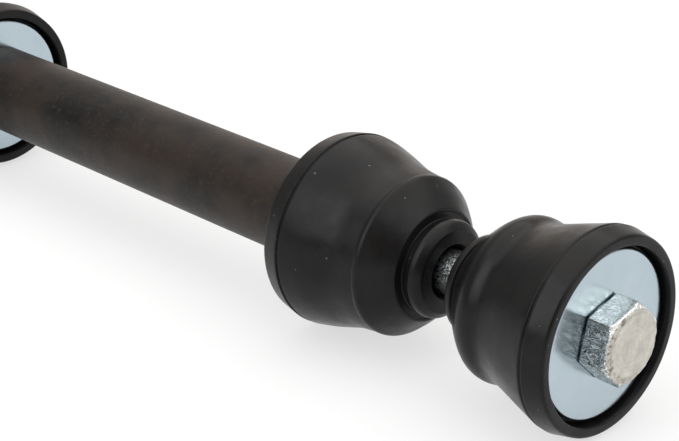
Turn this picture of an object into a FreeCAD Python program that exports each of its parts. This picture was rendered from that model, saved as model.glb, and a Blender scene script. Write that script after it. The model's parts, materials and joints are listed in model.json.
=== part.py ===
import FreeCAD, Part
import math
import os

# Stabiliser link of the through-bolt kind, laid along X with the bolt head at +X.
# A long bolt carries two pairs of moulded bushings, kept apart by a tube in the middle.
# The eye of the suspension arm sits between the noses of one pair, the bar's eye in the other.

# Driving dimensions in mm

# the bolt, its head and the lock nut
bolt_diameter = 10.0
thread_pitch = 1.5
thread_length = 45.0
hex_across_flats = 16.0
head_height = 6.8
head_turn_deg = 16.0
nut_height = 10.0
bolt_tail = 2.5

# the four plated washers
washer_diameter = 36.8
washer_thickness = 2.0
washer_recess = 1.5

# the spacer tube
sleeve_length = 131.0
sleeve_diameter = 22.0
sleeve_wall = 3.5

# the moulded bushings: lengths along the axis, from the washer end to the nose
rim_width = 4.8
skirt_length = 13.1
inner_waist_length = 6.3
outer_waist_length = 2.7
lobe_length = 7.1
collar_length = 5.2
# the moulded bushings: radii and steps
lip_width = 2.0
rim_flare = 1.05
notch_depth = 0.5
inner_waist_radius = 18.3
inner_waist_taper = 0.7
inner_lobe_swell = 0.2
inner_skirt_bulge = 0.37
outer_waist_radius = 17.85
outer_waist_taper = 0.5
outer_lobe_swell = 0.65
collar_radius = 11.2
groove_width = 1.7
groove_depth = 1.2
nose_chamfer = 2.1

# the room between the two noses of a pair, before the nut is tightened
nose_gap = 6.6

# Clearances in mm
bushing_bore_clearance = 0.3
washer_hole_clearance = 0.4
recess_clearance = 0.8
thread_clearance = 0.08
insert_clearance = 0.03

# Dependent sizes
bolt_radius = bolt_diameter / 2
thread_radius = bolt_radius - 0.05 * thread_pitch
washer_radius = washer_diameter / 2
sleeve_radius = sleeve_diameter / 2
bushing_bore = bolt_radius + bushing_bore_clearance
washer_hole = bolt_radius + washer_hole_clearance
washer_seat = washer_recess + washer_thickness
recess_radius = washer_radius + recess_clearance
lip_radius = recess_radius + 0.2 + lip_width
rim_radius = lip_radius + rim_flare
skirt_start = rim_width + 0.75
skirt_end = rim_width + skirt_length
inner_crease = skirt_end + inner_waist_length
outer_crease = skirt_end + outer_waist_length
lobe_end = inner_crease + lobe_length
bushing_height = lobe_end + collar_length
hex_corner_radius = hex_across_flats / math.sqrt(3)

# Stations along the axis, measured from the middle of the spacer tube
sleeve_end = sleeve_length / 2
inner_lip = sleeve_end - washer_recess
inner_nose = inner_lip + bushing_height
outer_nose = inner_nose + nose_gap
outer_lip = outer_nose + bushing_height
clamp_face = outer_lip - washer_recess
head_top = clamp_face + head_height
bolt_tip = -(clamp_face + nut_height + bolt_tail)
thread_start = bolt_tip + thread_length

# The origin is the middle of the whole link, on the axis
origin_shift = -(head_top + bolt_tip) / 2


def point(along, radius):
    return FreeCAD.Vector(along, 0, radius)


def turned(corners):
    """Solid of revolution about X. Each corner is (along, radius, reach).

    A corner with a reach is rounded by an arc that starts and ends that far from it.
    """
    places = [point(along, radius) for along, radius, reach in corners]
    arcs = []
    for i, (along, radius, reach) in enumerate(corners):
        here = places[i]
        back = (places[i - 1] - here).normalize()
        onward = (places[(i + 1) % len(places)] - here).normalize()
        if reach == 0:
            arcs.append((here, None, here))
            continue
        half = back.getAngle(onward) / 2
        middle = (back + onward).normalize() * (reach / math.cos(half) - reach * math.tan(half))
        arcs.append((here + back * reach, here + middle, here + onward * reach))
    edges = []
    for i, (start, middle, end) in enumerate(arcs):
        if middle is not None:
            edges.append(Part.Arc(start, middle, end).toShape())
        following = arcs[(i + 1) % len(arcs)][0]
        edges.append(Part.makeLine(end, following))
    face = Part.Face(Part.Wire(edges))
    return face.revolve(FreeCAD.Vector(0, 0, 0), FreeCAD.Vector(1, 0, 0), 360)


def hex_prism(start, length, turn_deg):
    """Hexagonal bar along X, with a corner turned by turn_deg from +Y towards +Z."""
    corners = []
    for k in range(7):
        angle = math.radians(turn_deg + 60 * k)
        across = hex_corner_radius * math.cos(angle)
        up = hex_corner_radius * math.sin(angle)
        corners.append(FreeCAD.Vector(start, across, up))
    return Part.Face(Part.makePolygon(corners)).extrude(FreeCAD.Vector(length, 0, 0))


def placed(shape, along, facing=1):
    """Shape moved to a station on the axis. Facing -1 turns it end for end first."""
    if facing < 0:
        shape.rotate(FreeCAD.Vector(0, 0, 0), FreeCAD.Vector(0, 0, 1), 180)
    shape.translate(FreeCAD.Vector(along + origin_shift, 0, 0))
    return shape


def inner_form():
    """Skirt, waist and lobe of an inner bushing: a full skirt, a long waist and a short lobe."""
    waist_start = inner_waist_radius + inner_waist_taper
    lobe_top = inner_waist_radius + inner_lobe_swell
    lobe = lobe_end - inner_crease
    bulge_at = 0.32
    bulge_radius = (1 - bulge_at) * (rim_radius - 0.15) + bulge_at * waist_start + inner_skirt_bulge
    return [
        (skirt_start + bulge_at * (skirt_end - skirt_start), bulge_radius, 1.8),
        (skirt_end, waist_start, 2.4),
        (inner_crease, inner_waist_radius, 0.15),
        (inner_crease + 0.14 * lobe, lobe_top, 0.11 * lobe),
        (inner_crease + 0.59 * lobe, 0.536 * lobe_top + 0.464 * lobe_foot(), 0.14 * lobe),
    ]


def outer_form():
    """Skirt, waist and lobe of an outer bushing: a short waist that runs into a round dome."""
    lobe_top = outer_waist_radius + outer_lobe_swell
    lobe = lobe_end - outer_crease
    return [
        (skirt_end, outer_waist_radius + outer_waist_taper, 0.7 * outer_waist_length),
        (outer_crease, outer_waist_radius, 0.18 * outer_waist_length),
        (outer_crease + 0.35 * lobe, lobe_top, 0.2 * lobe),
        (outer_crease + 0.73 * lobe, 0.536 * lobe_top + 0.464 * lobe_foot(), 0.16 * lobe),
    ]


def lobe_foot():
    return collar_radius + groove_width


def bushing(form):
    """Moulded bushing of one form, with its lip at 0 and its nose pointing along +X."""
    lip_round = 0.45 * lip_width
    groove_floor = lobe_end - groove_depth
    mouth_radius = bushing_bore + 1.5
    return turned([
        # the recess that takes the washer
        (washer_seat, bushing_bore, 0),
        (washer_seat, recess_radius, 0.6),
        # the rounded lip and the flared rim band behind it
        (0, recess_radius + 0.2, lip_round),
        (0, lip_radius, lip_round),
        (rim_width, rim_radius, 0.25),
        # the fine notch between rim band and skirt
        (rim_width + 0.15, rim_radius - notch_depth, 0.1),
        (rim_width + 0.45, rim_radius - notch_depth, 0.1),
        (skirt_start, rim_radius - 0.15, 0.3),
        # the skirt, the waist and the lobe that bears on the eye
        *form,
        (lobe_end, lobe_foot(), 0.35),
        # the groove around the collar that enters the eye
        (groove_floor, lobe_foot() - 0.35 * groove_width, 0.3),
        (groove_floor, collar_radius, 0.3),
        (bushing_height - nose_chamfer, collar_radius, 0.4),
        (bushing_height, collar_radius - 0.95 * nose_chamfer, 0.3),
        # the mouth of the bore
        (bushing_height, mouth_radius, 0.2),
        (bushing_height - 1.4, bushing_bore, 0),
    ])


def washer():
    """Flat stamped washer lying from 0 to its thickness."""
    return turned([
        (0, washer_hole, 0.2),
        (0, washer_radius, 0.45),
        (washer_thickness, washer_radius, 0.15),
        (washer_thickness, washer_hole, 0.2),
    ])


def spacer_sleeve():
    """Plain tube cut to length, its ends lightly broken, centred on 0."""
    bore = sleeve_radius - sleeve_wall
    return turned([
        (-sleeve_end, bore, 0.3),
        (-sleeve_end, sleeve_radius, 0.4),
        (sleeve_end, sleeve_radius, 0.4),
        (sleeve_end, bore, 0.3),
    ])


def link_bolt():
    """Hexagon bolt, its bearing face at the clamped washer and its thread at -X."""
    face_radius = 0.49 * hex_across_flats
    chamfer_drop = (hex_corner_radius + 0.2 - face_radius) * math.tan(math.radians(30))
    turned_blank = turned([
        (clamp_face, 0, 0),
        (clamp_face, hex_corner_radius + 0.2, 0),
        (head_top - chamfer_drop, hex_corner_radius + 0.2, 0),
        (head_top, face_radius, 0),
        (head_top, 0, 0),
    ])
    head = hex_prism(clamp_face, head_height, head_turn_deg).common(turned_blank)
    tip_chamfer = 0.8 * thread_pitch
    fillet = 0.7 * washer_hole_clearance
    shank = turned([
        (clamp_face + 0.5 * head_height, 0, 0),
        (clamp_face + 0.5 * head_height, bolt_radius + fillet, 0),
        (clamp_face, bolt_radius + fillet, 0),
        (clamp_face - fillet, bolt_radius, 0),
        (thread_start + 0.2, bolt_radius, 0),
        (thread_start, thread_radius, 0),
        (bolt_tip + tip_chamfer, thread_radius, 0),
        (bolt_tip, thread_radius - tip_chamfer, 0),
        (bolt_tip, 0, 0),
    ])
    return head.fuse(shank).removeSplitter()


def lock_nut():
    """Lock nut, its bearing face at 0 and its crown pointing along -X."""
    hex_height = 0.74 * nut_height
    crown_radius = 0.46 * hex_across_flats
    pocket_radius = insert_radius() + insert_clearance
    bevel = 0.25 * (hex_corner_radius - 0.5 * hex_across_flats) + 0.5
    blank = turned([
        (0, 0, 0),
        (0, 0.49 * hex_across_flats, 0),
        (-bevel, hex_corner_radius + 0.1, 0),
        (bevel - hex_height, hex_corner_radius + 0.1, 0),
        (-hex_height, 0.49 * hex_across_flats, 0),
        (-hex_height, 0, 0),
    ])
    body = hex_prism(-hex_height, hex_height, 0).common(blank)
    crown = turned([
        (-0.5 * hex_height, 0, 0),
        (-0.5 * hex_height, crown_radius, 0),
        (-nut_height, crown_radius, 0.9),
        (-nut_height, 0, 0),
    ])
    bore = turned([
        (1, 0, 0),
        (1, bolt_radius + 1.3, 0),
        (-0.6, thread_radius + thread_clearance, 0),
        (-hex_height, thread_radius + thread_clearance, 0),
        (-hex_height, pocket_radius, 0),
        (-nut_height + 0.5, pocket_radius, 0),
        (-nut_height + 0.5, thread_radius + 0.8, 0),
        (-nut_height - 1, thread_radius + 0.8, 0),
        (-nut_height - 1, 0, 0),
    ])
    return body.fuse(crown).cut(bore).removeSplitter()


def insert_radius():
    return thread_radius + 1.45


def nut_insert():
    """Locking ring held under the rolled crown of the nut."""
    return turned([
        (-0.74 * nut_height, thread_radius + thread_clearance, 0),
        (-0.74 * nut_height, insert_radius(), 0),
        (-nut_height + 0.5, insert_radius(), 0),
        (-nut_height + 0.5, thread_radius + thread_clearance, 0.25),
    ])


os.makedirs("parts", exist_ok=True)

pieces = {
    "link_bolt": placed(link_bolt(), 0),
    "head_washer": placed(washer(), clamp_face, -1),
    "head_outer_bushing": placed(bushing(outer_form()), outer_lip, -1),
    "head_inner_bushing": placed(bushing(inner_form()), inner_lip),
    "head_sleeve_washer": placed(washer(), sleeve_end),
    "spacer_sleeve": placed(spacer_sleeve(), 0),
    "nut_sleeve_washer": placed(washer(), -sleeve_end, -1),
    "nut_inner_bushing": placed(bushing(inner_form()), -inner_lip, -1),
    "nut_outer_bushing": placed(bushing(outer_form()), -outer_lip),
    "nut_washer": placed(washer(), -clamp_face),
    "lock_nut": placed(lock_nut(), -clamp_face),
    "nut_insert": placed(nut_insert(), -clamp_face),
}

for name, shape in pieces.items():
    shape.exportStep(f"parts/{name}.step")
    box = shape.BoundBox
    print(name, "valid" if shape.isValid() else "NOT VALID", round(shape.Volume / 1000, 2), "cm3",
          "X", round(box.XMin, 2), round(box.XMax, 2), "Z", round(box.ZMin, 2), round(box.ZMax, 2))
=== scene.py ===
# %% [markdown]
# # A stabilizer link, dressed for its photograph
# The link ties a car's stabilizer bar to its suspension arm. A long bolt carries four rubber
# bushings, four plated washers and a tube that holds the two pairs apart. The imported CAD model
# already has each part in its place. This lesson gives every part a smooth skin and a finish,
# then lights and photographs the whole.
# We load the frame first and measure its box.

# %% Load the frame
import json
import math

import bmesh
import bpy
import numpy as np
from mathutils import Matrix, Vector, noise


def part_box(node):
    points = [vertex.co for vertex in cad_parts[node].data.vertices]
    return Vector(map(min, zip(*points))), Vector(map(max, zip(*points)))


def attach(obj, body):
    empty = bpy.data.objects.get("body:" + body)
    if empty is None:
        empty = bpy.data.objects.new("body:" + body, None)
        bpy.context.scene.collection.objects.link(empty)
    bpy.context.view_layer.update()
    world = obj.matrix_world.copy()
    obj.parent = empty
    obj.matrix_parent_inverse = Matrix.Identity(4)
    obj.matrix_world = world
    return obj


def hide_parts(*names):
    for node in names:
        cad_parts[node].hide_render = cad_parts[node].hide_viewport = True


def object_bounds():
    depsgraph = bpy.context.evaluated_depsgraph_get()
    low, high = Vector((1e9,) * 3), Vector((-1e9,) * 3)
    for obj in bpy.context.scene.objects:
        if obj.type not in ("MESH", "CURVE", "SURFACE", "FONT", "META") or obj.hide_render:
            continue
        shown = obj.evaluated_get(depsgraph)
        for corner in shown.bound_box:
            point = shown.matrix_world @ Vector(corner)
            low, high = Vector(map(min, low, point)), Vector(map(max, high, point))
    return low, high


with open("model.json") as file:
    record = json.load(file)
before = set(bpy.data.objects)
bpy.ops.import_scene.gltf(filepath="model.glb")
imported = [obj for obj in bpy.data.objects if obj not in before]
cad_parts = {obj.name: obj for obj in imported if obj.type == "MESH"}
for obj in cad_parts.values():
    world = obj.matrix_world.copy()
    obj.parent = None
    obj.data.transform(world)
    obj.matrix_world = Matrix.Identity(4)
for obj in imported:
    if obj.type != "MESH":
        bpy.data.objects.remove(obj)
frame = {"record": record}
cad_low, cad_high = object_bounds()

MM = 0.001
print("CAD box", [round(v / MM, 2) for v in (*cad_low, *cad_high)])

# %% [markdown]
# ## Where the photographer stood
# A camera has a place, a direction and a lens. All three were worked out from the ellipses that
# the round rims draw in the photograph, and from the outlines of the bushings and the tube.
# Writing the camera's axes down as a matrix is more exact than aiming it by eye, because a long
# lens shows even a half-degree error.

# %% Camera
camera_data = bpy.data.cameras.new("studio_camera")
camera_data.sensor_width = 36.0
camera_data.sensor_fit = "HORIZONTAL"
camera_data.lens = 99.75
camera_data.clip_start = 0.01
camera = bpy.data.objects.new("studio_camera", camera_data)
bpy.context.scene.collection.objects.link(camera)
bpy.context.scene.camera = camera

camera_right = Vector((0.69855, 0.71556, 0.0))
camera_up = Vector((-0.28641, 0.27961, 0.91640))
camera_back = Vector((0.65574, -0.64015, 0.40027))
placing = Matrix((camera_right, camera_up, camera_back)).transposed().to_4x4()
placing.translation = Vector((347.4, -271.9, 171.3)) * MM
camera.matrix_world = placing
print("camera stands", round(placing.translation.length / MM), "mm from the link's middle")

# %% [markdown]
# ## Finishes are built from layers
# Each finish starts as one plain shader. Noise, ramps and bumps are then added on top of it.
# A small class keeps the list of nodes, so each finish below reads like a recipe.
# Every pattern reads object coordinates. They are in metres and stay with the piece, so a noise
# scale of 1000 gives grains about one millimetre across, wherever the piece moves.

# %% The recipe book for finishes
class Finish:
    """A material that is put together step by step around one shader."""

    def __init__(self, name, **plain):
        self.material = bpy.data.materials.new(name)
        self.material.use_nodes = True
        self.tree = self.material.node_tree
        self.shader = self.tree.nodes["Principled BSDF"]
        self.place = self.add("ShaderNodeTexCoord").outputs["Object"]
        for socket, value in plain.items():
            self.set(socket.replace("_", " "), value)

    def add(self, kind, inputs=None, **settings):
        node = self.tree.nodes.new(kind)
        for key, value in settings.items():
            setattr(node, key, value)
        for key, value in (inputs or {}).items():
            self.feed(node.inputs[key], value)
        return node

    def feed(self, socket, value):
        if isinstance(value, bpy.types.NodeSocket):
            self.tree.links.new(value, socket)
        else:
            socket.default_value = value

    def set(self, socket, value):
        """Gives the shader's own socket a plain value or the end of a chain of nodes."""
        if isinstance(value, tuple) and len(value) == 3:
            value = (*value, 1.0)
        self.feed(self.shader.inputs[socket], value)

    def stretched(self, scale, turn=(0, 0, 0)):
        """Object coordinates pulled out along an axis, for brushed or drawn surfaces."""
        inputs = {"Vector": self.place, "Scale": scale, "Rotation": turn}
        return self.add("ShaderNodeMapping", inputs).outputs[0]

    def grain(self, scale, detail=3.0, roughness=0.5, at=None, distortion=0.0):
        inputs = {"Vector": at or self.place, "Scale": scale, "Detail": detail}
        inputs.update({"Roughness": roughness, "Distortion": distortion})
        return self.add("ShaderNodeTexNoise", inputs).outputs[0]

    def between(self, value, low, high, to_low=0.0, to_high=1.0):
        inputs = {"Value": value, "From Min": low, "From Max": high}
        inputs.update({"To Min": to_low, "To Max": to_high})
        return self.add("ShaderNodeMapRange", inputs).outputs[0]

    def sums(self, operation, first, second):
        return self.add("ShaderNodeMath", {0: first, 1: second}, operation=operation).outputs[0]

    def blend(self, share, first, second):
        """A colour between two others, by a share from 0 to 1."""
        node = self.add("ShaderNodeMix", data_type="RGBA")
        colours = [s for s in node.inputs if s.type == "RGBA"]
        self.feed(node.inputs[0], share)
        for socket, value in zip(colours, (first, second)):
            self.feed(socket, (*value, 1.0) if isinstance(value, tuple) else value)
        return next(s for s in node.outputs if s.type == "RGBA")

    def bump(self, height, distance, strength=1.0, under=None):
        inputs = {"Height": height, "Distance": distance, "Strength": strength}
        if under is not None:
            inputs["Normal"] = under
        return self.add("ShaderNodeBump", inputs).outputs[0]

    def parts_of_place(self):
        """Distance along the axis and distance out from it, as two values."""
        along, across, up = self.add("ShaderNodeSeparateXYZ", {0: self.place}).outputs
        flat = self.add("ShaderNodeCombineXYZ", {1: across, 2: up}).outputs[0]
        out = self.add("ShaderNodeVectorMath", {0: flat}, operation="LENGTH").outputs["Value"]
        return along, out

    def specks(self, scale, reach, share):
        """1 on small scattered spots and 0 between them."""
        wobble = self.sums("MULTIPLY", self.grain(scale * 3.0, 2.0), 0.25 / scale)
        shifted = self.add("ShaderNodeVectorMath", {0: self.place, 1: wobble}, operation="ADD")
        cells = self.add("ShaderNodeTexVoronoi", {"Vector": shifted.outputs[0], "Scale": scale})
        near = self.sums("LESS_THAN", cells.outputs["Distance"], reach)
        pick = self.add("ShaderNodeSeparateColor", {0: cells.outputs["Color"]}).outputs[0]
        return self.sums("MULTIPLY", near, self.sums("GREATER_THAN", pick, 1.0 - share))


print("finishes can be mixed now")

# %% [markdown]
# ## Moulded rubber
# The bushings come out of a polished steel mould, so the rubber is black and satin, not dusty.
# The broad clouds are uneven bloom on the surface. The fine grain breaks up the highlight, and a
# few pale specks are mould dust. A roughness near 0.3 lets the soft boxes show as patches with
# soft edges, and a low specular level keeps those patches dim, as oily black rubber does.

# %% Rubber finish
rubber = Finish("moulded_rubber", Specular_IOR_Level=0.17)
bloom = rubber.between(rubber.grain(95.0, 4.0, 0.6), 0.35, 0.65)
black = rubber.blend(bloom, (0.0054, 0.0051, 0.0052), (0.0106, 0.0098, 0.0094))
dust = rubber.specks(400.0, 0.060, 0.30)
rubber.set("Base Color", rubber.blend(dust, black, (0.21, 0.20, 0.18)))
rubber.set("Roughness", rubber.between(rubber.grain(150.0, 5.0, 0.6), 0.35, 0.65, 0.24, 0.40))
rubber_flow = rubber.bump(rubber.grain(150.0, 3.0), 0.00018, 0.7)
rubber_skin = rubber.bump(rubber.grain(2600.0, 4.0, 0.6), 0.000012, 0.8, rubber_flow)
rubber.set("Normal", rubber_skin)
print(rubber.material.name, "has", len(rubber.tree.nodes), "nodes")

# %% [markdown]
# ## Plated sheet for the washers
# The washers are punched from rolled sheet and then plated with bright zinc, which leaves a
# pale blue tint. Rolling leaves long fine lines in one direction. We get them by squeezing noise
# hard along one axis with a mapping node. A second, rounder noise clouds the plating.

# %% Washer finish
sheet = Finish("bright_zinc_sheet", Metallic=1.0)
clouds = sheet.between(sheet.grain(120.0, 4.0, 0.6), 0.35, 0.65)
sheet.set("Base Color", sheet.blend(clouds, (0.43, 0.51, 0.565), (0.46, 0.54, 0.59)))
rolled = sheet.grain(1.0, 4.0, 0.6, sheet.stretched((400.0, 2600.0, 70.0), (0.42, 0, 0)))
soft = sheet.grain(700.0, 3.0)
line_haze = sheet.between(rolled, 0.3, 0.7, 0.0, 0.05)
haze = sheet.sums("ADD", line_haze, sheet.between(soft, 0.3, 0.7, 0.0, 0.03))
sheet.set("Roughness", sheet.sums("ADD", haze, 0.15))
sheet_lines = sheet.bump(rolled, 0.000008, 0.5)
sheet.set("Normal", sheet.bump(sheet.grain(330.0, 2.0), 0.000008, 0.5, sheet_lines))
print(sheet.material.name, "has", len(sheet.tree.nodes), "nodes")

# %% [markdown]
# ## Forged and plated steel for the bolt
# The bolt's head is hot forged, and its skin stays crackled under the zinc: thin dark lines run
# between bright scales. One distorted noise gives both, because the lines are drawn where it
# crosses its middle value, and the bump follows the same noise.
# The end face was pressed flat by the die and is warmer and more matt. It has faint circles, and
# a brown worn edge on one side. The rim around it is lumpy, and its upper side carries a painted
# highlight, a pale colour where light falls. The upper flats carry painted light too: a duller,
# more even tone with fewer dark lines. The shank is painted darker, as painted shade. Each of
# these regions is told from the rest by where it is, with a map range on the distances.

# %% Bolt finish
head_low, head_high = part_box("link_bolt")
forged = Finish("forged_zinc", Metallic=1.0)
along, out = forged.parts_of_place()
end_face = forged.sums("GREATER_THAN", along, head_high.x - 0.00038)
past_chamfer = forged.between(along, head_high.x - 0.0013, head_high.x - 0.0007)
rim = forged.sums("MULTIPLY", past_chamfer, forged.between(out, 0.0066, 0.0073))
across, upward = forged.add("ShaderNodeSeparateXYZ", {0: forged.place}).outputs[1:]
# Painted highlight: the rim's upper side, where light falls, is given a pale colour further down.
rim_painted_highlight = forged.sums("MULTIPLY", rim, forged.between(upward, -0.001, 0.003))

flow = forged.stretched((0.42, 1.0, 1.0))
ripple = forged.grain(1200.0, 2.5, 0.5, flow, distortion=1.6)
off_middle = forged.sums("ABSOLUTE", forged.sums("SUBTRACT", ripple, 0.5), 0.0)
wrinkle = forged.between(off_middle, 0.015, 0.075, 1.0, 0.0)
smooth_places = forged.sums("MAXIMUM", end_face, forged.sums("MULTIPLY", rim_painted_highlight, 0.7))
calm = forged.between(smooth_places, 0.0, 1.0, 1.0, 0.10)
# Painted light: the flats that face up get fewer dark lines and, below, a duller and more even
# tone.
on_top = forged.between(upward, 0.0045, 0.0068)
calm = forged.sums("MULTIPLY", calm, forged.between(on_top, 0.0, 1.0, 1.0, 0.5))
deeper = forged.between(forged.grain(380.0, 2.0), 0.40, 0.55, 0.80, 1.0)
wrinkle = forged.sums("MULTIPLY", forged.sums("MULTIPLY", wrinkle, calm), deeper)
calmer = forged.sums("MULTIPLY", calm, forged.between(on_top, 0.0, 1.0, 1.0, 0.35))
skin = forged.blend(forged.between(ripple, 0.40, 0.60), (0.50, 0.55, 0.55), (0.90, 0.93, 0.92))
# Painted light: the upper flats are mixed part of the way to a dull, even grey (0.62, 0.63, 0.60).
skin = forged.blend(forged.sums("MULTIPLY", on_top, 0.55), skin, (0.62, 0.63, 0.60))
# Painted shade: the shank, within about 5.1 mm of the axis, where it runs in the bores and between
# the parts, is mixed three quarters of the way to a dark grey.
skin = forged.blend(forged.between(out, 0.0051, 0.0058, 0.75, 0.0), skin, (0.36, 0.38, 0.38))

cloud = forged.between(forged.grain(330.0, 4.0, 0.6), 0.35, 0.65)
pressed = forged.grain(700.0, 4.0, 0.6)
circles = forged.grain(2600.0, 2.0, at=forged.add("ShaderNodeCombineXYZ", {0: out}).outputs[0])
face = forged.blend(cloud, (0.51, 0.485, 0.43), (0.67, 0.65, 0.595))
face = forged.blend(forged.between(circles, 0.45, 0.70, 0.0, 0.45), face, (0.38, 0.36, 0.32))
worn_side = forged.between(across, 0.001, -0.004)
worn = forged.sums("MULTIPLY", forged.between(out, 0.0058, 0.0069), worn_side)
stain = forged.sums("MULTIPLY", worn, forged.between(pressed, 0.50, 0.58))
face = forged.blend(forged.sums("MULTIPLY", stain, 0.75), face, (0.18, 0.13, 0.08))
# Painted highlight: the pale colour (0.90, 0.90, 0.88) goes on the rim's upper side here.
plated = forged.blend(end_face, forged.blend(rim_painted_highlight, skin, (0.90, 0.90, 0.88)), face)
dark_share = forged.sums("MULTIPLY", wrinkle, 0.97)
forged.set("Base Color", forged.blend(dark_share, plated, (0.018, 0.026, 0.026)))
satin = forged.between(ripple, 0.3, 0.7, 0.36, 0.26)
forged.set("Roughness", forged.sums("ADD", satin, forged.sums("MULTIPLY", end_face, 0.10)))

lumps = forged.sums("MULTIPLY", forged.grain(1100.0, 3.0, 0.6), rim)
forged_lumps = forged.bump(lumps, 0.00055, 0.9)
forged_waves = forged.bump(forged.sums("MULTIPLY", ripple, calmer), 0.00024, 0.8, forged_lumps)
relief = forged.sums("ADD", pressed, forged.sums("MULTIPLY", circles, 0.4))
forged_face = forged.bump(forged.sums("MULTIPLY", relief, end_face), 0.00010, 0.9, forged_waves)
forged.set("Normal", forged.bump(forged.grain(3600.0, 3.0), 0.00002, 0.5, forged_face))
print(forged.material.name, "has", len(forged.tree.nodes), "nodes")

# %% [markdown]
# ## Smooth plated steel for the nut and the thread
# The nut is cold formed and turned, and the thread is rolled, so both are smoother than the
# bolt's head. Fine rings around the axis stand for the turning marks. They come from a noise
# that runs along the distance from the axis, so that distance is worked out in the material.

# %% Nut and thread finish
turned_zinc = Finish("turned_zinc", Metallic=1.0)
patches = turned_zinc.between(turned_zinc.grain(420.0, 4.0), 0.35, 0.65)
turned_zinc.set("Base Color", turned_zinc.blend(patches, (0.60, 0.625, 0.63), (0.71, 0.72, 0.70)))
turned_zinc.set("Roughness", turned_zinc.between(patches, 0.0, 1.0, 0.26, 0.38))
from_axis = turned_zinc.parts_of_place()[1]
rings = turned_zinc.add("ShaderNodeCombineXYZ", {0: from_axis}).outputs[0]
marks = turned_zinc.grain(6000.0, 2.0, at=rings)
nut_skin = turned_zinc.bump(turned_zinc.grain(900.0, 3.0), 0.00003, 0.6)
turned_zinc.set("Normal", turned_zinc.bump(marks, 0.00001, 0.5, nut_skin))
print(turned_zinc.material.name, "has", len(turned_zinc.tree.nodes), "nodes")

# %% [markdown]
# ## Phosphated steel for the spacer tube
# The tube has a dark phosphate coat, a little brown where oil dried on it. The coat is made of
# tiny crystals, so it is matt up close, and its colour wanders along the tube as it does on
# drawn stock. The stretched noise runs along the tube's axis.

# %% Tube finish
phosphate = Finish("phosphated_steel", Metallic=0.35, Specular_IOR_Level=0.27)
drawn = phosphate.grain(1.0, 4.0, 0.6, phosphate.stretched((45.0, 420.0, 420.0)))
spots = phosphate.grain(900.0, 5.0, 0.65)
blotches = phosphate.grain(60.0, 4.0, 0.60)
brown_share = phosphate.between(blotches, 0.42, 0.60)
coat = phosphate.blend(brown_share, (0.0095, 0.0090, 0.0088), (0.031, 0.0223, 0.0175))
drawn_share = phosphate.between(drawn, 0.35, 0.65, 0.0, 0.30)
coat = phosphate.blend(drawn_share, coat, (0.027, 0.0225, 0.0190))
crystals = phosphate.between(spots, 0.56, 0.76)
phosphate.set("Base Color", phosphate.blend(crystals, coat, (0.050, 0.039, 0.031)))
phosphate.set("Roughness", phosphate.between(spots, 0.3, 0.7, 0.40, 0.54))
phosphate_lines = phosphate.bump(drawn, 0.00002, 0.5)
phosphate.set("Normal", phosphate.bump(spots, 0.00002, 0.7, phosphate_lines))
print(phosphate.material.name, "has", len(phosphate.tree.nodes), "nodes")

# %% [markdown]
# ## Nylon for the locking ring
# The ring in the nut's crown is undyed nylon. A little light goes into it before it comes back,
# which a small subsurface share shows, and its surface is waxy and faintly cloudy.

# %% Nylon finish
nylon = Finish("undyed_nylon", Subsurface_Weight=0.25, Subsurface_Scale=0.0008)
milk = nylon.between(nylon.grain(500.0, 3.0), 0.35, 0.65)
nylon.set("Base Color", nylon.blend(milk, (0.66, 0.66, 0.60), (0.76, 0.75, 0.69)))
nylon.set("Roughness", nylon.between(nylon.grain(1500.0, 3.0), 0.3, 0.7, 0.36, 0.50))
nylon.set("Normal", nylon.bump(nylon.grain(1800.0, 3.0), 0.00002, 0.5))
print(nylon.material.name, "has", len(nylon.tree.nodes), "nodes")

# %% [markdown]
# ## Round parts from an outline
# Nearly everything here was made by turning, moulding or punching, so its shape is an outline
# carried round the bolt's axis. An outline is a list of corners: how far along, how far out, and
# how much of the corner is rounded off. A real edge always has a small radius, and that radius
# is what catches the light, so the arcs matter more than the flats between them.

# %% From corners to a smooth outline
def corner_arc(before, corner, after, reach, steps):
    """Points of the arc that starts and ends at a distance of reach from the corner."""
    back = (before - corner) / np.linalg.norm(before - corner)
    onward = (after - corner) / np.linalg.norm(after - corner)
    weight = math.sqrt(max(0.0, (1.0 - float(back @ onward)) / 2.0))
    share = np.linspace(0.0, 1.0, steps + 1)[:, None]
    pull = 2.0 * weight * share * (1.0 - share)
    ends = (1.0 - share) ** 2 * (corner + back * reach) + share**2 * (corner + onward * reach)
    return (ends + pull * corner) / ((1.0 - share) ** 2 + pull + share**2)


def outline(corners, spacing=0.8, steps=6):
    """A closed loop of points (along, out) in mm, no further apart than spacing."""
    spots = [np.array(c[:2], float) for c in corners]
    loop = []
    for i, (_, _, reach) in enumerate(corners):
        if reach > 0:
            after = spots[(i + 1) % len(spots)]
            loop.extend(corner_arc(spots[i - 1], spots[i], after, reach, steps))
        else:
            loop.append(spots[i])
    finer = []
    for i, here in enumerate(loop):
        following = loop[(i + 1) % len(loop)]
        pieces = max(1, math.ceil(np.linalg.norm(following - here) / spacing))
        finer.extend(here + (following - here) * k / pieces for k in range(pieces))
    return np.array(finer)


print("a rounded square has", len(outline([(0, 5, 1), (0, 9, 1), (4, 9, 1), (4, 5, 1)])), "points")

# %% [markdown]
# The next helper lays faces between rings of points. It then merges the points that
# fall together, such as all those of a ring with no radius, and turns the faces outwards.

# %% From rings of points to a mesh
MERGE_WITHIN = 0.0005 * MM


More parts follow.
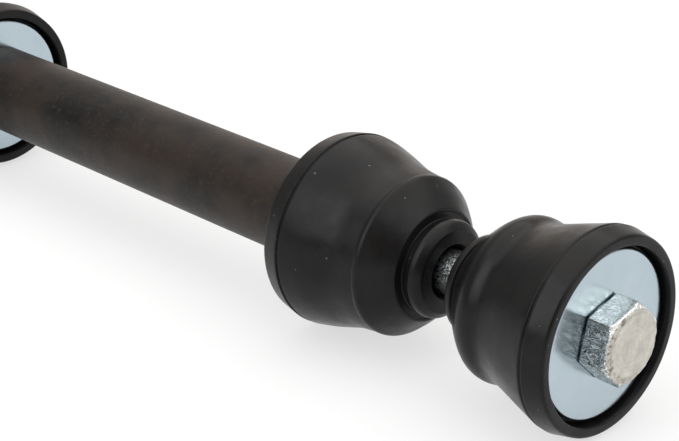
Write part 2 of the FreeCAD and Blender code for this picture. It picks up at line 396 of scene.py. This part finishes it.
def ring_mesh(name, ring_points, closed):
    """Faces between rings of points in metres. Closed joins the last ring to the first."""
    count, around = ring_points.shape[:2]
    row = np.arange(count if closed else count - 1)[:, None]
    column = np.arange(around)[None, :]
    next_row, next_column = (row + 1) % count, (column + 1) % around
    corners = (row * around + column, next_row * around + column)
    corners += (next_row * around + next_column, row * around + next_column)
    faces = np.stack(corners, axis=-1).reshape(-1, 4)
    mesh = bpy.data.meshes.new(name)
    mesh.from_pydata(ring_points.reshape(-1, 3).tolist(), [], faces.tolist())
    return tidy_mesh(mesh)


def tidy_mesh(mesh):
    """Merges doubled points, turns the faces outwards and shades them smoothly."""
    work = bmesh.new()
    work.from_mesh(mesh)
    bmesh.ops.remove_doubles(work, verts=work.verts, dist=MERGE_WITHIN)
    bmesh.ops.recalc_face_normals(work, faces=work.faces)
    for face in work.faces:
        face.smooth = True
    work.to_mesh(mesh)
    work.free()
    return mesh


def turned(name, loop, around=192):
    """The mesh of a closed outline, in mm, carried round the bolt's axis."""
    angle = np.linspace(0.0, 2.0 * math.pi, around, endpoint=False)
    along, out = loop[:, :1] * MM, loop[:, 1:] * MM
    spread = [np.broadcast_to(along, (len(loop), around)), out * np.cos(angle), out * np.sin(angle)]
    return ring_mesh(name, np.stack(spread, axis=-1), closed=True)


def unevenness(mesh, height, size, seed, share=None):
    """Moves each point a little along its normal, by smooth noise with bumps of that size, in mm.

    Where a share is given, it turns the points' places in metres into a factor for each.
    """
    shift = Vector((seed * 7.3, seed * 3.1, seed * 5.7))
    places, normals = (np.empty(len(mesh.vertices) * 3, np.float32) for _ in range(2))
    mesh.vertices.foreach_get("co", places)
    mesh.vertices.foreach_get("normal", normals)
    amounts = [noise.noise(Vector(p) / (size * MM) + shift) for p in places.reshape(-1, 3)]
    if share is not None:
        amounts = np.array(amounts) * share(places.reshape(-1, 3))
    places += normals * np.repeat(np.array(amounts, np.float32) * height * MM, 3)
    mesh.vertices.foreach_set("co", places)
    mesh.update()


print("meshes can be turned now")

# %% [markdown]
# ## Every piece rides on its part
# A finished mesh becomes a piece in three steps: it rides on the body that moves it, it gets its
# finish, and it replaces the plain CAD part. One helper does all three,
# so that no piece is left hanging in the air when the joints move.

# %% Hand a mesh over to the frame
BODY_OF = {n: body for body, nodes in frame["record"]["behaviour"]["bodies"].items() for n in nodes}


def hand_over(name, mesh, finish, node):
    """Makes the piece that stands for a CAD node, riding on that node's body."""
    piece = bpy.data.objects.new(name, mesh)
    bpy.context.scene.collection.objects.link(piece)
    mesh.materials.clear()
    mesh.materials.append(finish.material)
    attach(piece, BODY_OF[node])
    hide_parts(node)
    print(name, "has", len(mesh.polygons), "faces and rides on", BODY_OF[node])


# %% [markdown]
# ## The moulded bushings
# Each bushing is one moulding. It starts at a rounded lip around the washer, flares to a rim
# band with a fine notch where the two mould halves met, and falls in a hollow curve to a waist.
# Behind the waist comes the lobe that bears on the eye, and a collar on its nose enters the eye.
# The photograph shows two forms. The inner pair folds sharply between waist and lobe, while the
# outer pair swells there into a smooth dome. The rest is alike, so one function makes all four
# and only the corners between rim and lobe are handed to it. A touch of unevenness, different on
# each, keeps them from looking like copies.

# %% Bushings
WASHER_SEAT, RECESS, LIP, RIM, BORE = 3.5, 19.2, 21.4, 22.40, 5.3
COLLAR, LOBE_END, HEIGHT = 11.2, 31.9, 36.5
OUTER_FORM = [
    (17.9, 18.35, 1.3),
    (20.7, 17.80, 1.3),
    (24.7, 18.85, 2.5),
    (28.5, 16.0, 2.1),
]
INNER_FORM = [
    (9.5, 21.6, 3.6),
    (17.9, 19.0, 2.4),
    (24.2, 18.3, 0.15),
    (25.2, 18.5, 0.8),
    (28.4, 15.9, 1.0),
]


def bushing_outline(form):
    """The closed outline of a bushing, whose skirt, waist and lobe are the given corners."""
    recess_and_rim = [
        (WASHER_SEAT, BORE, 0),
        (WASHER_SEAT, RECESS, 0.6),
        (0, RECESS + 0.05, 0.3),
        (0, LIP, 0.6),
        (4.80, RIM, 0.25),
        (4.95, RIM - 0.45, 0.1),
        (5.25, RIM - 0.45, 0.1),
        (5.55, RIM - 0.10, 0.3),
    ]
    collar_and_bore = [
        (LOBE_END, 12.6, 0.5),
        (LOBE_END - 0.3, 12.1, 0.2),
        (LOBE_END - 0.3, COLLAR - 0.7, 0.3),
        (HEIGHT - 3.1, COLLAR - 0.7, 0.3),
        (HEIGHT - 2.7, COLLAR, 0.3),
        (HEIGHT - 1.2, COLLAR - 0.25, 0.6),
        (HEIGHT, COLLAR - 1.8, 0.4),
        (HEIGHT, BORE + 1.1, 0.2),
        (HEIGHT - 1.5, BORE, 0),
    ]
    return outline(recess_and_rim + form + collar_and_bore)


def bushing(node, form, lip_at_high_end, seed):
    """One bushing of that form, with its lip at the named end of the CAD node's box."""
    low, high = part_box(node)
    loop = bushing_outline(form)
    lip_at = (high.x if lip_at_high_end else low.x) / MM
    loop[:, 0] = lip_at + loop[:, 0] * (-1 if lip_at_high_end else 1)
    mesh = turned(node + "_skin", loop)
    unevenness(mesh, 0.035, 9.0, seed)
    hand_over(node + "_moulding", mesh, rubber, node)


bushing("head_outer_bushing", OUTER_FORM, True, 1)
bushing("head_inner_bushing", INNER_FORM, False, 2)
bushing("nut_inner_bushing", INNER_FORM, True, 3)
bushing("nut_outer_bushing", OUTER_FORM, False, 4)

# %% [markdown]
# ## The washers
# A punch pulls the sheet's edge down as it cuts, so one edge of each washer is rounded and the
# other is nearly sharp. The faces are flat to a hundredth of a millimetre, but a mirror-like
# surface shows even that, so they get a very small waviness too.

# %% Washers
WASHER_HOLE = 5.4


def washer(node, rounded_high_side, seed):
    """One washer, with its rounded edge on the named side."""
    low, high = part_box(node)
    thick = (high.x - low.x) / MM
    out = high.z / MM
    corners = [(0, WASHER_HOLE, 0.2), (0, out, 0.75), (thick, out, 0.15), (thick, WASHER_HOLE, 0.2)]
    loop = outline(corners, 1.0)
    start = (high.x if rounded_high_side else low.x) / MM
    loop[:, 0] = start + loop[:, 0] * (-1 if rounded_high_side else 1)
    mesh = turned(node + "_skin", loop)
    unevenness(mesh, 0.012, 11.0, seed)
    hand_over(node + "_plate", mesh, sheet, node)


washer("head_washer", True, 11)
washer("head_sleeve_washer", False, 12)
washer("nut_sleeve_washer", True, 13)
washer("nut_washer", False, 14)

# %% [markdown]
# ## The spacer tube
# The tube is cut from drawn stock, and the cut ends are broken with a file.

# %% Spacer tube
tube_low, tube_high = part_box("spacer_sleeve")
tube_from, tube_to = tube_low.x / MM, tube_high.x / MM
TUBE_OUT, TUBE_BORE = 11.0, 7.5
tube_corners = [
    (tube_from, TUBE_BORE, 0.3),
    (tube_from, TUBE_OUT, 0.4),
    (tube_to, TUBE_OUT, 0.4),
    (tube_to, TUBE_BORE, 0.3),
]
tube_mesh = turned("spacer_tube_skin", outline(tube_corners, 1.6), 160)
unevenness(tube_mesh, 0.02, 14.0, 21)
hand_over("spacer_tube", tube_mesh, phosphate, "spacer_sleeve")

# %% [markdown]
# ## Hexagons with rounded corners
# A hexagon is not round, but it can still be built from rings: the distance from the axis just
# changes with the angle. The chamfer on a bolt head is a cone. Where the cone is nearer to the
# axis than the hexagon it cuts the corners, and that gives the curved edges seen on every bolt.
# The rings follow that edge exactly, because each angle gets its own station along the axis.

# %% Rings of a hexagon
def hexagon_angles(turn_deg, corner_round, flat):
    """Angles around the axis, crowded at the six corners, and the distance out at each."""
    centre = (flat - corner_round) / math.cos(math.radians(30))
    touch = math.atan2(corner_round * 0.5, centre + corner_round * math.cos(math.radians(30)))
    side = np.concatenate([np.linspace(0, touch, 4)[:-1], np.linspace(touch, math.radians(30), 9)])
    local = np.concatenate([-side[:0:-1], side])[1:]
    bend = np.sqrt(np.maximum(corner_round**2 - (centre * np.sin(local)) ** 2, 0))
    near_corner = np.abs(local) < touch
    on_flat = flat / np.cos(math.radians(30) - np.abs(local))
    out = np.where(near_corner, centre * np.cos(local) + bend, on_flat)
    angles = np.concatenate([math.radians(turn_deg + 60 * k) + local for k in range(6)])
    return angles, np.tile(out, 6)


def hexagon_rings(angles, stations):
    """Ring points in metres from (along, out) pairs in mm, each a number or one per angle."""
    points = np.zeros((len(stations), len(angles), 3))
    for i, (along, out) in enumerate(stations):
        points[i, :, 0] = along * MM
        points[i, :, 1] = out * np.cos(angles) * MM
        points[i, :, 2] = out * np.sin(angles) * MM
    return points


def soft_edge(first, corner, last, steps=4):
    """Stations that round an edge, where each station is (along, out) and may vary by angle."""
    shares = np.linspace(0, 1, steps + 1)
    mix = [((1 - s) ** 2, 2 * s * (1 - s), s**2) for s in shares]
    return [tuple(a * p + b * q + c * r for p, q, r in zip(first, corner, last)) for a, b, c in mix]


test_angles, test_out = hexagon_angles(16, 0.45, 8.0)
nearest, furthest = round(test_out.min(), 2), round(test_out.max(), 2)
print(len(test_angles), "points around, from", nearest, "to", furthest, "mm")

# %% [markdown]
# ## The bolt's head and shank
# The head stands on a thin round step, which draws the dark line under it in the photograph.
# Above come the six flats, the chamfer and the end face.
# The shank is the same skin carried on down to where the thread starts.

# %% Bolt head and shank
FLAT, SHANK, THREAD_CREST, THREAD_LENGTH = 8.0, 5.0, 4.925, 45.0
HEAD_HEIGHT, STEP_OUT = 6.8, 7.4
CHAMFER_SLOPE = math.tan(math.radians(30))
head_top = head_high.x / MM - 0.10
seat = head_top - HEAD_HEIGHT
thread_from = head_low.x / MM + THREAD_LENGTH
angles, hexagon = hexagon_angles(16.0, 0.5, FLAT - 0.06)
face_circle, easing = 7.45, 0.14
edge = head_top - (hexagon - face_circle) * CHAMFER_SLOPE
cone_out = hexagon - easing / CHAMFER_SLOPE
cone_end = face_circle + easing / CHAMFER_SLOPE
step_top, flats_from, flats_to = seat + 0.42, seat + 0.72, edge - 0.45

stations = [(thread_from, 0.0), (thread_from, THREAD_CREST), (thread_from + 0.2, SHANK)]
stations += [(x, SHANK) for x in np.linspace(thread_from + 1.0, seat - 0.3, 170)]
stations += soft_edge((seat - 0.28, SHANK), (seat, SHANK), (seat, SHANK + 0.28))
stations += [(seat, out) for out in (5.8, 6.6, 7.1)]
stations += soft_edge((seat, 7.2), (seat, STEP_OUT), (seat + 0.2, STEP_OUT), 3)
stations += [(step_top, STEP_OUT)]
stations += soft_edge((step_top, hexagon - 0.3), (step_top, hexagon), (flats_from, hexagon))
up_the_flats = np.linspace(0.08, 0.95, 12)
stations += [(flats_from + (flats_to - flats_from) * share, hexagon) for share in up_the_flats]
stations += soft_edge((flats_to, hexagon), (edge, hexagon), (edge + easing, cone_out), 6)
last_on_cone, first_on_face = (head_top - easing, cone_end), (head_top, face_circle - 0.7)
stations += soft_edge(last_on_cone, (head_top, face_circle), first_on_face, 6)
stations += [(head_top, out) for out in np.linspace(6.6, 0.0, 14)]
bolt_mesh = ring_mesh("bolt_skin", hexagon_rings(angles, stations), closed=False)
unevenness(bolt_mesh, 0.05, 2.6, 31)


def near_rim(places):
    """1 along the edge around the end face, falling to 0 a millimetre away from it."""
    back_from_face = (head_high.x - places[:, 0]) / MM
    out_from_axis = np.hypot(places[:, 1], places[:, 2]) / MM
    return np.clip(1.6 - back_from_face, 0, 1) * np.clip(out_from_axis - 6.4, 0, 1)


unevenness(bolt_mesh, 0.16, 1.2, 32, near_rim)
hand_over("bolt_head_and_shank", bolt_mesh, forged, "link_bolt")

# %% [markdown]
# ## The rolled thread
# A thread is one groove wound round the bolt many times, so it is a good job for Geometry
# Nodes. We start from a flat grid. One direction becomes the way round the bolt and the other
# the way along it, and each turn of the way round also climbs by one pitch. The distance
# out follows a clipped cosine, which has the flat crests and rounded roots of a rolled thread.
# The groove fades out at the shank, and a cone trims it at the tip.
# A pipe swept along a spiral would be simpler, but it would leave edges buried in the core.

# %% Short names for geometry nodes
class Sums:
    """Short names for the number nodes in a geometry node tree."""

    def __init__(self, tree):
        self.tree = tree

    def feed(self, socket, value):
        if isinstance(value, bpy.types.NodeSocket):
            self.tree.links.new(value, socket)
        else:
            socket.default_value = value

    def node(self, kind, inputs=None, **settings):
        made = self.tree.nodes.new(kind)
        for key, value in settings.items():
            setattr(made, key, value)
        for key, value in (inputs or {}).items():
            self.feed(made.inputs[key], value)
        return made

    def of(self, operation, *values):
        inputs = dict(enumerate(values))
        return self.node("ShaderNodeMath", inputs, operation=operation).outputs[0]

    def held(self, value, low, high):
        return self.of("MINIMUM", self.of("MAXIMUM", value, low), high)


print("geometry nodes can be added now")

# %% A node tree for a thread
THREAD_INPUTS = {
    "Turns": 30.0,
    "Pitch": 1.5 * MM,
    "Crest Radius": THREAD_CREST * MM,
    "Root Radius": 4.05 * MM,
    "Tip Radius": 3.9 * MM,
    "Run-out": 2.6 * MM,
    "Tip At": head_low.x,
    "Rows per Turn": 10.0,
    "Points Around": 73.0,
}


def thread_tree():
    """The tree that winds a thread round the X axis from its named inputs."""
    tree = bpy.data.node_groups.new("rolled_thread", "GeometryNodeTree")
    tree.interface.new_socket("Geometry", in_out="INPUT", socket_type="NodeSocketGeometry")
    for name in THREAD_INPUTS:
        tree.interface.new_socket(name, in_out="INPUT", socket_type="NodeSocketFloat")
    tree.interface.new_socket("Finish", in_out="INPUT", socket_type="NodeSocketMaterial")
    tree.interface.new_socket("Geometry", in_out="OUTPUT", socket_type="NodeSocketGeometry")
    sums = Sums(tree)
    given = sums.node("NodeGroupInput").outputs
    one_more_turn = sums.of("ADD", given["Turns"], 1.0)
    rows = sums.of("ADD", sums.of("MULTIPLY", one_more_turn, given["Rows per Turn"]), 2.0)
    grid = sums.node("GeometryNodeMeshGrid", {"Size X": rows, "Size Y": 1.0})
    sums.feed(grid.inputs["Vertices X"], sums.of("ADD", rows, 1.0))
    sums.feed(grid.inputs["Vertices Y"], given["Points Around"])

    position = sums.node("GeometryNodeInputPosition").outputs[0]
    place = sums.node("ShaderNodeSeparateXYZ", {0: position}).outputs
    row = sums.of("ADD", place[0], sums.of("MULTIPLY", rows, 0.5))
    round_share = sums.of("ADD", place[1], 0.5)
    climb = sums.of("DIVIDE", sums.of("SUBTRACT", row, 1.0), given["Rows per Turn"])
    length = sums.of("MULTIPLY", given["Turns"], given["Pitch"])
    turns_along = sums.of("SUBTRACT", sums.of("ADD", climb, round_share), 1.0)
    along = sums.held(sums.of("MULTIPLY", turns_along, given["Pitch"]), 0.0, length)

    wave = sums.of("MULTIPLY", sums.of("COSINE", sums.of("MULTIPLY", climb, 2.0 * math.pi)), 1.35)
    share = sums.of("MULTIPLY", sums.of("SUBTRACT", 1.0, sums.held(wave, -1.0, 1.0)), 0.5)
    to_the_shank = sums.of("SUBTRACT", length, along)
    fade = sums.held(sums.of("DIVIDE", to_the_shank, given["Run-out"]), 0.0, 1.0)
    depth = sums.of("SUBTRACT", given["Crest Radius"], given["Root Radius"])
    cut = sums.of("MULTIPLY", sums.of("MULTIPLY", share, fade), depth)
    groove = sums.of("SUBTRACT", given["Crest Radius"], cut)
    cone = sums.of("ADD", given["Tip Radius"], along)
    not_first = sums.of("GREATER_THAN", row, 0.5)
    not_last = sums.of("LESS_THAN", row, sums.of("SUBTRACT", rows, 0.5))
    not_an_end = sums.of("MULTIPLY", not_first, not_last)
    out = sums.of("MULTIPLY", sums.of("MINIMUM", groove, cone), not_an_end)

    angle = sums.of("MULTIPLY", round_share, 2.0 * math.pi)
    spot = sums.node("ShaderNodeCombineXYZ", {0: sums.of("ADD", given["Tip At"], along)})
    sums.feed(spot.inputs[1], sums.of("MULTIPLY", out, sums.of("COSINE", angle)))
    sums.feed(spot.inputs[2], sums.of("MULTIPLY", out, sums.of("SINE", angle)))
    winding = {"Geometry": grid.outputs["Mesh"], "Position": spot.outputs[0]}
    wound = sums.node("GeometryNodeSetPosition", winding)
    joining = {"Geometry": wound.outputs[0], "Distance": MERGE_WITHIN}
    joined = sums.node("GeometryNodeMergeByDistance", joining)
    real = sums.node("GeometryNodeRealizeInstances", {"Geometry": joined.outputs[0]})
    plating = {"Geometry": real.outputs[0], "Material": given["Finish"]}
    plated = sums.node("GeometryNodeSetMaterial", plating)
    result = sums.node("NodeGroupOutput")
    sums.feed(result.inputs["Geometry"], plated.outputs[0])
    return tree


thread_nodes = thread_tree()
print("the thread's tree has", len(thread_nodes.nodes), "nodes")

# %% [markdown]
# A modifier reads its inputs by each socket's identifier, so the sizes are given to it that way.
# The result is then copied to a plain mesh, because a piece that rides on a body should not
# depend on a live modifier.

# %% Wind the thread and keep its mesh
def baked(tree, values, finish):
    """The plain mesh that a node tree makes from these values."""
    holder = bpy.data.objects.new("holder", bpy.data.meshes.new("holder"))
    bpy.context.scene.collection.objects.link(holder)
    modifier = holder.modifiers.new("nodes", "NODES")
    modifier.node_group = tree
    for item in tree.interface.items_tree:
        if item.in_out == "INPUT" and item.name in values:
            modifier[item.identifier] = values[item.name]
        if item.in_out == "INPUT" and item.name == "Finish":
            modifier[item.identifier] = finish.material
    seen = holder.evaluated_get(bpy.context.evaluated_depsgraph_get())
    mesh = bpy.data.meshes.new_from_object(seen)
    bpy.data.objects.remove(holder)
    return tidy_mesh(mesh)


thread_mesh = baked(thread_nodes, THREAD_INPUTS, turned_zinc)
hand_over("bolt_rolled_thread", thread_mesh, turned_zinc, "link_bolt")

# %% [markdown]
# ## The lock nut and its ring
# The nut is the same kind of skin as the head, but it is closed through its bore. Both ends of
# the hexagon are chamfered, and a round crown is rolled over the nylon ring at the outer end.

# %% Lock nut
nut_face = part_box("lock_nut")[1].x / MM
nut_angles, nut_hexagon = hexagon_angles(0.0, 0.45, FLAT)
NUT_BORE, NUT_FACE_CIRCLE, HEX_DEPTH, CROWN_DEPTH = 5.005, 7.84, 7.4, 10.0
CROWN_OUT, MOUTH, RING_POCKET, RING_OUT = 7.36, 5.725, 6.405, 6.375
bevel = (nut_hexagon - NUT_FACE_CIRCLE) * CHAMFER_SLOPE + 0.12


def from_face(depth):
    """Station at a depth from the bearing face, where the nut's outer end points along -X."""
    return nut_face - depth


nut_stations = [(from_face(depth), NUT_BORE) for depth in (HEX_DEPTH, 4.0, 0.6)]
nut_stations += [(from_face(0.0), 6.15), (from_face(0.0), 7.0)]
nut_stations += soft_edge(
    (from_face(0.0), 7.6),
    (from_face(0.0), NUT_FACE_CIRCLE),
    (from_face(0.15), 7.95),
    3,
)
nut_stations += soft_edge(
    (from_face(bevel - 0.1), nut_hexagon - 0.15),
    (from_face(bevel), nut_hexagon),
    (from_face(bevel + 0.25), nut_hexagon),
)
nut_stations += [(from_face(depth), nut_hexagon) for depth in (2.2, 3.7, 5.2)]
nut_stations += soft_edge(
    (from_face(HEX_DEPTH - 0.25 - bevel), nut_hexagon),
    (from_face(HEX_DEPTH - bevel), nut_hexagon),
    (from_face(HEX_DEPTH + 0.1 - bevel), nut_hexagon - 0.15),
)
nut_stations += soft_edge(
    (from_face(HEX_DEPTH - 0.15), 7.95),
    (from_face(HEX_DEPTH), NUT_FACE_CIRCLE),
    (from_face(HEX_DEPTH), 7.6),
    3,
)
nut_stations += [(from_face(HEX_DEPTH + 0.02), 7.37), (from_face(8.2), CROWN_OUT)]
nut_stations += soft_edge(
    (from_face(9.1), CROWN_OUT),
    (from_face(CROWN_DEPTH), CROWN_OUT),
    (from_face(CROWN_DEPTH), CROWN_OUT - 0.9),
    6,
)
nut_stations += soft_edge(
    (from_face(CROWN_DEPTH), 5.95),
    (from_face(CROWN_DEPTH), MOUTH),
    (from_face(9.8), MOUTH),
    3,
)
nut_stations += [(from_face(9.5), MOUTH), (from_face(9.5), RING_POCKET)]
nut_stations += [(from_face(HEX_DEPTH), RING_POCKET)]
nut_mesh = ring_mesh("lock_nut_skin", hexagon_rings(nut_angles, nut_stations), closed=True)
unevenness(nut_mesh, 0.015, 3.0, 41)
hand_over("lock_nut_body", nut_mesh, turned_zinc, "lock_nut")

# %% Locking ring
ring_low, ring_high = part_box("nut_insert")
ring_corners = [(ring_high.x / MM, NUT_BORE, 0), (ring_high.x / MM, RING_OUT, 0)]
ring_corners += [(ring_low.x / MM, RING_OUT, 0), (ring_low.x / MM, NUT_BORE, 0.25)]
locking_ring = turned("locking_ring_skin", outline(ring_corners, 0.6), 120)
hand_over("lock_nut_ring", locking_ring, nylon, "nut_insert")

# %% [markdown]
# ## The studio
# The link lies on a plain pale floor. Its rims are its widest part, so the floor touches them.
# Product photographs are lit by large soft boxes, because black rubber shows nothing but what it
# reflects. A wide box hangs above, a low warm one stands behind and draws the line along the
# tops, one at the side puts the square patch on the flares, and one in front lights the face of
# the bolt. The surroundings are grey and darker on the camera's side. The floor is paper that
# glows a little, as it does over a light table, so that it stays nearly white in the shadows.

# %% Floor
floor_mesh = bpy.data.meshes.new("floor")
reach, drop = 4.0, cad_low.z - 0.02 * MM
floor_corners = [(x * reach, y * reach, drop) for x, y in ((-1, -1), (1, -1), (1, 1), (-1, 1))]
floor_mesh.from_pydata(floor_corners, [], [(0, 1, 2, 3)])
floor = bpy.data.objects.new("studio_floor", floor_mesh)
bpy.context.scene.collection.objects.link(floor)
paper = Finish("pale_paper", Roughness=0.9, Specular_IOR_Level=0.1)
mottle = paper.between(paper.grain(3.0, 2.0), 0.3, 0.7)
paper.set("Base Color", paper.blend(mottle, (0.26, 0.26, 0.26), (0.28, 0.28, 0.28)))
paper.set("Emission Color", (1.0, 1.0, 1.0))
paper.set("Emission Strength", 0.66)
floor_mesh.materials.append(paper.material)
print("the floor lies at", round(drop / MM, 2), "mm")


# %% Lights
def soft_box(name, place, aim, width, height, brightness, colour):
    """A rectangular light at a place, turned towards a point. Brightness is per unit of area."""
    light = bpy.data.lights.new(name, "AREA")
    light.shape = "RECTANGLE"
    light.size, light.size_y = width, height
    light.energy = brightness * math.pi * width * height
    light.color = colour
    lamp = bpy.data.objects.new(name, light)
    bpy.context.scene.collection.objects.link(lamp)
    lamp.location = place
    lamp.rotation_euler = (Vector(aim) - Vector(place)).to_track_quat("-Z", "Y").to_euler()


soft_box("overhead_box", (0.10, 0.22, 0.85), (0.10, 0.20, 0.0), 1.6, 1.4, 1.5, (1.0, 0.98, 0.96))
soft_box("back_box", (-0.75, 0.85, 0.28), (0.0, 0.0, 0.0), 0.9, 0.45, 0.50, (1.0, 0.80, 0.64))
soft_box("side_box", (-0.07, -0.86, 0.63), (0.06, 0.0, 0.0), 0.60, 1.0, 3.3, (0.97, 0.98, 1.0))
soft_box("front_box", (1.07, 0.20, 0.60), (0.15, 0.0, 0.0), 1.1, 1.0, 1.25, (1.0, 1.0, 1.0))

# %% Surroundings
world = bpy.data.worlds.new("studio_room")
bpy.context.scene.world = world
world.use_nodes = True
room = world.node_tree
heading = room.nodes.new("ShaderNodeTexCoord").outputs["Generated"]
facing = room.nodes.new("ShaderNodeVectorMath")
facing.operation = "DOT_PRODUCT"
facing.inputs[1].default_value = (-0.25, 0.80, 0.55)
room.links.new(heading, facing.inputs[0])
spread = room.nodes.new("ShaderNodeMapRange")
spread.inputs["From Min"].default_value = -0.6
spread.inputs["From Max"].default_value = 0.9
spread.inputs["To Min"].default_value = 0.04
spread.inputs["To Max"].default_value = 0.62
room.links.new(facing.outputs["Value"], spread.inputs["Value"])
background = room.nodes["Background"]
background.inputs["Color"].default_value = (1.0, 0.995, 0.985, 1.0)
room.links.new(spread.outputs["Result"], background.inputs["Strength"])
bpy.context.scene.view_settings.view_transform = "Standard"
print("the room is lit by", len(room.nodes), "nodes")

# %% [markdown]
# ## Finish
# The last step brings the view layer up to date.

# %% Finish
bpy.context.view_layer.update()
